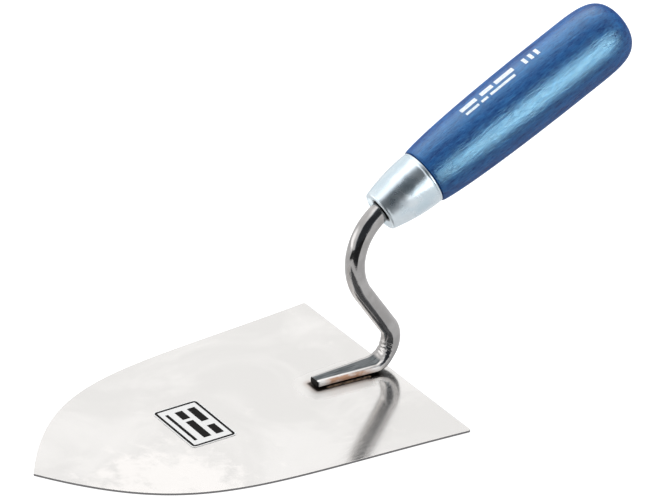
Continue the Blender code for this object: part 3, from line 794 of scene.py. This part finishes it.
def make_ferrule(material):
    """Dished front with a hole, rounded nose, swelling wall, groove and rolled lip, hollow from the rear."""
    rounding = FERRULE_NOSE_ROUNDING
    nose = ferrule_radius(rounding) - rounding
    hole = FERRULE_HOLE_RADIUS + HOLE_BREAK
    profile = []
    front_steps = 8
    for step in range(front_steps):
        share = step / front_steps
        profile.append((hole + (nose - hole) * share, NOSE_DISH * (1.0 - share * share)))
    profile += arc((nose, rounding), rounding, -math.pi / 2, 0.0, 10)
    groove_end = FERRULE_LENGTH - LIP_WIDTH
    groove_start = groove_end - 2 * LIP_GROOVE
    wall_steps = 26
    for step in range(1, wall_steps + 1):
        along = rounding + (groove_start - rounding) * step / wall_steps
        profile.append((ferrule_radius(along), along))
    # Groove in front of the rolled lip
    groove_floor = ferrule_radius(groove_end) - LIP_GROOVE * 1.2
    profile.append((ferrule_radius(groove_start + 0.0001) - 0.00005, groove_start + 0.00008))
    profile.append((groove_floor, groove_start + 0.0002))
    profile.append((groove_floor, groove_end - 0.00005))
    lip_radius = FERRULE_REAR_RADIUS - LIP_ROUNDING
    profile += arc((lip_radius, groove_end + LIP_ROUNDING), LIP_ROUNDING, -math.pi / 3, 0.0, 5)
    profile += arc((lip_radius, FERRULE_LENGTH - LIP_ROUNDING), LIP_ROUNDING, 0.0, math.pi / 2, 6)
    # Inside, from the rear to the hole
    profile.append((FERRULE_REAR_RADIUS - FERRULE_WALL, FERRULE_LENGTH))
    inside = FERRULE_WALL + NOSE_DISH
    inner_end = inside + CORNER_INSIDE
    inner_steps = 8
    for step in range(1, inner_steps + 1):
        along = FERRULE_LENGTH + (inner_end - FERRULE_LENGTH) * step / inner_steps
        profile.append((ferrule_radius(along) - FERRULE_WALL, along))
    profile.append((ferrule_radius(inside) - FERRULE_WALL - CORNER_INSIDE, inside))
    profile.append((FERRULE_HOLE_RADIUS, inside))
    profile.append((FERRULE_HOLE_RADIUS, NOSE_DISH + HOLE_BREAK))
    return turn_profile(profile, "ferrule_shell", material, math.radians(35))


def handle_outside():
    """(radius, distance from the wood's front face) points of the turned outside, shoulder to butt."""
    shoulder = Vector((FERRULE_REAR_RADIUS + SHOULDER_PROUD, 0.0, 0.0))
    swell = Vector((BELLY_RADIUS - HANDLE_SWELL[1], HANDLE_SWELL[0] * HANDLE_LENGTH, 0.0))
    fullness = Vector((BELLY_RADIUS, HANDLE_FULLNESS * HANDLE_LENGTH, 0.0))
    belly = Vector((BELLY_RADIUS, HANDLE_BODY_END * HANDLE_LENGTH, 0.0))
    dome_start = Vector((BELLY_RADIUS, HANDLE_DOME_START * HANDLE_LENGTH, 0.0))
    dome_side = Vector((BELLY_RADIUS, HANDLE_DOME_SIDE * HANDLE_LENGTH, 0.0))
    dome_end = Vector((BELLY_RADIUS * HANDLE_DOME_FLAT, HANDLE_LENGTH, 0.0))
    apex = Vector((0.0, HANDLE_LENGTH, 0.0))
    body = interpolate_bezier(shoulder, swell, fullness, belly, BODY_STEPS)
    dome = interpolate_bezier(dome_start, dome_side, dome_end, apex, DOME_STEPS)
    return [(point.x, point.y) for point in body + dome]


def make_handle(material):
    """Spigot inside the ferrule, a shoulder with its corner broken, then the turned outside to the butt."""
    face = FERRULE_LENGTH + REST_GAP
    outside = handle_outside()
    shoulder_radius = outside[0][0]
    spigot_front = FERRULE_WALL + SPIGOT_SETBACK
    spigot_inset = FERRULE_WALL + REST_GAP
    profile = [(0.0, spigot_front), (FERRULE_HOLE_RADIUS, spigot_front)]
    spigot_steps = 6
    for step in range(spigot_steps + 1):
        along = spigot_front + (FERRULE_LENGTH - spigot_front) * step / spigot_steps
        profile.append((ferrule_radius(along) - spigot_inset, along))
    profile.append((ferrule_radius(FERRULE_LENGTH) - spigot_inset, face))
    profile.append((shoulder_radius - SHOULDER_BREAK * 1.6, face))
    corner = (shoulder_radius - SHOULDER_BREAK, face + SHOULDER_BREAK)
    profile += arc(corner, SHOULDER_BREAK, -math.pi / 2.4, 0.0, 5)
    profile += [(radius, face + along) for radius, along in outside if along > SHOULDER_BREAK * 1.3]
    return turn_profile(profile, "handle_wood", material, math.radians(40))


# ---------------------------------------------------------------- label and print


def rounded_rectangle(wide, long, corner):
    """A flat bmesh rectangle round the origin, with round corners."""
    bm = bmesh.new()
    bmesh.ops.create_grid(bm, x_segments=1, y_segments=1, size=0.5)
    bmesh.ops.scale(bm, vec=(wide, long, 1.0), verts=bm.verts)
    bmesh.ops.bevel(bm, geom=bm.verts[:], offset=corner, segments=6, profile=0.5, affect="VERTICES",
                    material=-1)
    return bm


def lay_on_blade(bm, thickness, underside):
    """Gives a flat shape its thickness, and lays it over the label's place with its underside at a height."""
    raised = bmesh.ops.extrude_face_region(bm, geom=bm.faces[:])
    top = [item for item in raised["geom"] if isinstance(item, bmesh.types.BMVert)]
    bmesh.ops.translate(bm, vec=(0.0, 0.0, thickness), verts=top)
    centre = ((LABEL_LOW.x + LABEL_HIGH.x) / 2, (LABEL_LOW.y + LABEL_HIGH.y) / 2, underside)
    bmesh.ops.translate(bm, vec=centre, verts=bm.verts)
    bmesh.ops.recalc_face_normals(bm, faces=bm.faces)


def label_film(material):
    bm = rounded_rectangle(LABEL_HIGH.x - LABEL_LOW.x, LABEL_HIGH.y - LABEL_LOW.y, LABEL_CORNER)
    lay_on_blade(bm, LABEL_HIGH.z - LABEL_LOW.z, LABEL_LOW.z)
    return object_from(bm, "label_film", material)


def label_frame(material):
    """A black border line printed just inside the film's edge."""
    wide = LABEL_HIGH.x - LABEL_LOW.x - 2 * FRAME_MARGIN
    long = LABEL_HIGH.y - LABEL_LOW.y - 2 * FRAME_MARGIN
    bm = rounded_rectangle(wide, long, FRAME_CORNER)
    field = bm.faces[:]
    bmesh.ops.inset_region(bm, faces=field, thickness=FRAME_LINE, use_boundary=True, use_even_offset=True)
    bmesh.ops.delete(bm, geom=field, context="FACES")
    lay_on_blade(bm, INK_THICKNESS, LABEL_HIGH.z + INK_GAP)
    return object_from(bm, "label_frame", material)


def label_bars(material):
    """Two rows of plain black blocks and one thin rule."""
    bm = bmesh.new()
    for x, y, wide, long in LABEL_BLOCKS:
        made = bmesh.ops.create_grid(bm, x_segments=1, y_segments=1, size=0.5)["verts"]
        bmesh.ops.scale(bm, vec=(wide, long, 1.0), verts=made)
        bmesh.ops.translate(bm, vec=(x, y, 0.0), verts=made)
    lay_on_blade(bm, INK_THICKNESS, LABEL_HIGH.z + INK_GAP)
    return object_from(bm, "label_bars", material)


def handle_point(outside, along, around, lift):
    """A point of the wood's surface, along from its front face and around from the top towards -Y."""
    later = next(i for i, point in enumerate(outside) if point[1] > along)
    (r0, a0), (r1, a1) = outside[later - 1], outside[later]
    radius = r0 + (r1 - r0) * (along - a0) / (a1 - a0) + lift
    up = heading(HANDLE_PITCH + math.pi / 2)
    start = ferrule_start() + heading(HANDLE_PITCH) * (FERRULE_LENGTH + REST_GAP + along)
    return start + up * (radius * math.cos(around)) + Vector((0.0, -radius * math.sin(around), 0.0))


def make_print(material):
    """Plain printed bars, each a thin patch bent to the wood's surface."""
    outside = handle_outside()
    bm = bmesh.new()
    for begin, end, low, high in PRINT_BARS:
        lengths = max(2, round((end - begin) / PRINT_FACE_LENGTH))
        verts = bmesh.ops.create_grid(bm, x_segments=lengths, y_segments=PRINT_FACE_ROWS, size=0.5)["verts"]
        faces = {face for vert in verts for face in vert.link_faces}
        raised = bmesh.ops.extrude_face_region(bm, geom=list(faces))
        top = {item for item in raised["geom"] if isinstance(item, bmesh.types.BMVert)}
        for vert in set(verts) | top:
            along = begin + (end - begin) * (vert.co.x + 0.5)
            around = math.radians(low + (high - low) * (vert.co.y + 0.5))
            lift = PRINT_THICKNESS if vert in top else -PRINT_THICKNESS
            vert.co = handle_point(outside, along, around, lift)
    bmesh.ops.recalc_face_normals(bm, faces=bm.faces)
    return object_from(bm, "handle_print_bars", material, math.radians(40))


def build():
    """Makes every piece, and returns those lit by the wood's softboxes and those lit by the ferrule's."""
    steel = stainless_sheet()
    forging = plated_forging()
    weld = weld_metal()
    zinc = zinc_shell()
    wood = blue_wood()
    paper = label_paper()
    ink = label_ink()
    blade = make_blade(steel)
    tang = make_tang(forging)
    left = make_weld(1, weld)
    right = make_weld(-1, weld)
    ferrule = make_ferrule(zinc)
    handle = make_handle(wood)
    label = label_film(paper)
    for piece, node, slot in (
        (blade, "blade", "stainless_sheet"),
        (tang, "tang", "plated_forging"),
        (left, "weld_left", "weld_metal"),
        (right, "weld_right", "weld_metal"),
        (ferrule, "ferrule", "zinc_shell"),
        (handle, "handle", "blue_wood"),
        (label, "blade_label", "label_paper"),
    ):
        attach(piece, "root")
        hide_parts(node)
    printed = make_print(handle_print())
    for piece in (label_frame(ink), label_bars(ink), printed):
        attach(piece, "root")
    return (handle, printed), (ferrule,)


# ---------------------------------------------------------------- studio


def make_floor():
    """A matte floor just under the blade, which glows to the camera and in reflections."""
    material, shader, nodes = new_material(
        "pale_studio_floor",
        Base_Color=(0.50, 0.50, 0.50, 1.0),
        Roughness=0.9,
        Specular_IOR_Level=0.0,
        Emission_Color=(1.0, 1.0, 1.0, 1.0),
    )
    path = nodes.add("ShaderNodeLightPath")
    seen = nodes.math("MULTIPLY", path.outputs["Is Camera Ray"], 0.9)
    mirrored = nodes.math("MULTIPLY", path.outputs["Is Glossy Ray"], 0.38)
    nodes.link(nodes.math("ADD", seen, mirrored), shader.inputs["Emission Strength"])
    bm = bmesh.new()
    bmesh.ops.create_grid(bm, x_segments=1, y_segments=1, size=60.0)
    floor = object_from(bm, "floor", material)
    floor.location = (0.0, 0.0, -0.0002)


def towards(azimuth, elevation):
    """Unit vector from the object, in degrees: azimuth 0 is -Y, 90 is +X."""
    azimuth, elevation = math.radians(azimuth), math.radians(elevation)
    level = math.cos(elevation)
    return (math.sin(azimuth) * level, -math.cos(azimuth) * level, math.sin(elevation))


def make_studio():
    """A soft white studio: brighter above and beyond the tip, dark round the camera and past the butt."""
    world = bpy.data.worlds.new("studio")
    bpy.context.scene.world = world
    world.use_nodes = True
    world.node_tree.nodes.clear()
    nodes = Nodes(world.node_tree)
    coords = nodes.add("ShaderNodeTexCoord")

    def patch(azimuth, elevation, inner, outer):
        """1 within inner degrees of a direction, easing to 0 at outer degrees."""
        dot = nodes.add("ShaderNodeVectorMath", operation="DOT_PRODUCT")
        nodes.link(coords.outputs["Generated"], dot.inputs[0])
        dot.inputs[1].default_value = towards(azimuth, elevation)
        return nodes.remap(dot.outputs["Value"], math.cos(math.radians(outer)), math.cos(math.radians(inner)))

    overhead = nodes.math("MULTIPLY", patch(0.0, 90.0, 15.0, 50.0), 0.9)
    wall = nodes.math("MULTIPLY", patch(-125.0, -6.0, 14.0, 34.0), 1.3)
    strength = nodes.math("ADD", 1.05, nodes.math("ADD", overhead, wall))
    room = nodes.math("MAXIMUM", patch(-38.0, 26.0, 31.0, 44.0), patch(-25.0, 60.0, 18.0, 36.0))
    room = nodes.math("MAXIMUM", room, patch(-24.0, 0.0, 12.0, 25.0))
    doorway = patch(102.0, 5.0, 15.0, 44.0)
    for unlit, loss in ((room, 0.950), (doorway, 0.85)):
        left = nodes.math("SUBTRACT", 1.0, nodes.math("MULTIPLY", unlit, loss))
        strength = nodes.math("MULTIPLY", strength, left)
    background = nodes.add("ShaderNodeBackground")
    nodes.put(background.inputs["Color"], nodes.mix(room, (1.0, 1.0, 1.0, 1.0), (0.86, 0.98, 1.12, 1.0)))
    nodes.put(background.inputs["Strength"], strength)
    out = nodes.add("ShaderNodeOutputWorld")
    nodes.link(background.outputs[0], out.inputs["Surface"])


def make_window(name, azimuth, elevation, size, radiance, lit):
    """A square softbox one metre from the handle that only gives the lit pieces their gloss."""
    data = bpy.data.lights.new(name, "AREA")
    data.shape = "SQUARE"
    data.size = size
    data.energy = radiance * math.pi * size * size  # watts that give this radiance
    window = bpy.data.objects.new(name, data)
    low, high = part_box("handle")
    towards_window = Vector(towards(azimuth, elevation))
    window.location = (low + high) / 2 + towards_window
    window.rotation_euler = towards_window.to_track_quat("Z", "Y").to_euler()
    window.visible_camera = False
    window.visible_diffuse = False
    bpy.context.scene.collection.objects.link(window)
    window.light_linking.receiver_collection = lit


def make_flag():
    """A black cloth on the floor towards the camera, out of its sight: only reflections show it."""
    material, _, _ = new_material(
        "black_flag_cloth",
        Base_Color=(0.030, 0.031, 0.033, 1.0),
        Roughness=1.0,
        Specular_IOR_Level=0.0,
    )
    bm = bmesh.new()
    corners = ((0.055, -0.105), (-0.16, -0.105), (-0.16, 0.05), (-40.0, 0.05), (-40.0, -40.0), (0.055, -40.0))
    bm.faces.new([bm.verts.new((x, y, 0.0005)) for x, y in corners])
    flag = object_from(bm, "flag", material)
    flag.visible_camera = False
    flag.visible_diffuse = False
    flag.visible_shadow = False


def make_camera():
    data = bpy.data.cameras.new("camera")
    data.sensor_width = SENSOR_WIDTH
    data.lens = LENS_LENGTH
    data.clip_start = 0.1
    data.clip_end = 200.0
    camera = bpy.data.objects.new("camera", data)
    camera.location = CAMERA_PLACE
    camera.rotation_euler = (CAMERA_TILT, 0.0, CAMERA_TURN)
    bpy.context.scene.collection.objects.link(camera)
    bpy.context.scene.camera = camera


lacquered = bpy.data.collections.new("lit_by_wood_softboxes")
shell = bpy.data.collections.new("lit_by_metal_softbox")
for collection, pieces in zip((lacquered, shell), build()):
    for piece in pieces:
        collection.objects.link(piece)
make_floor()
make_studio()
make_window("front_softbox", 13.0, 12.0, 0.62, 34.0, lacquered)
make_window("back_softbox", -178.0, 56.0, 1.10, 4.4, lacquered)
make_window("ferrule_softbox", 9.0, 15.0, 0.60, 1.6, shell)
make_flag()
make_camera()
bpy.context.scene.view_settings.view_transform = "Standard"
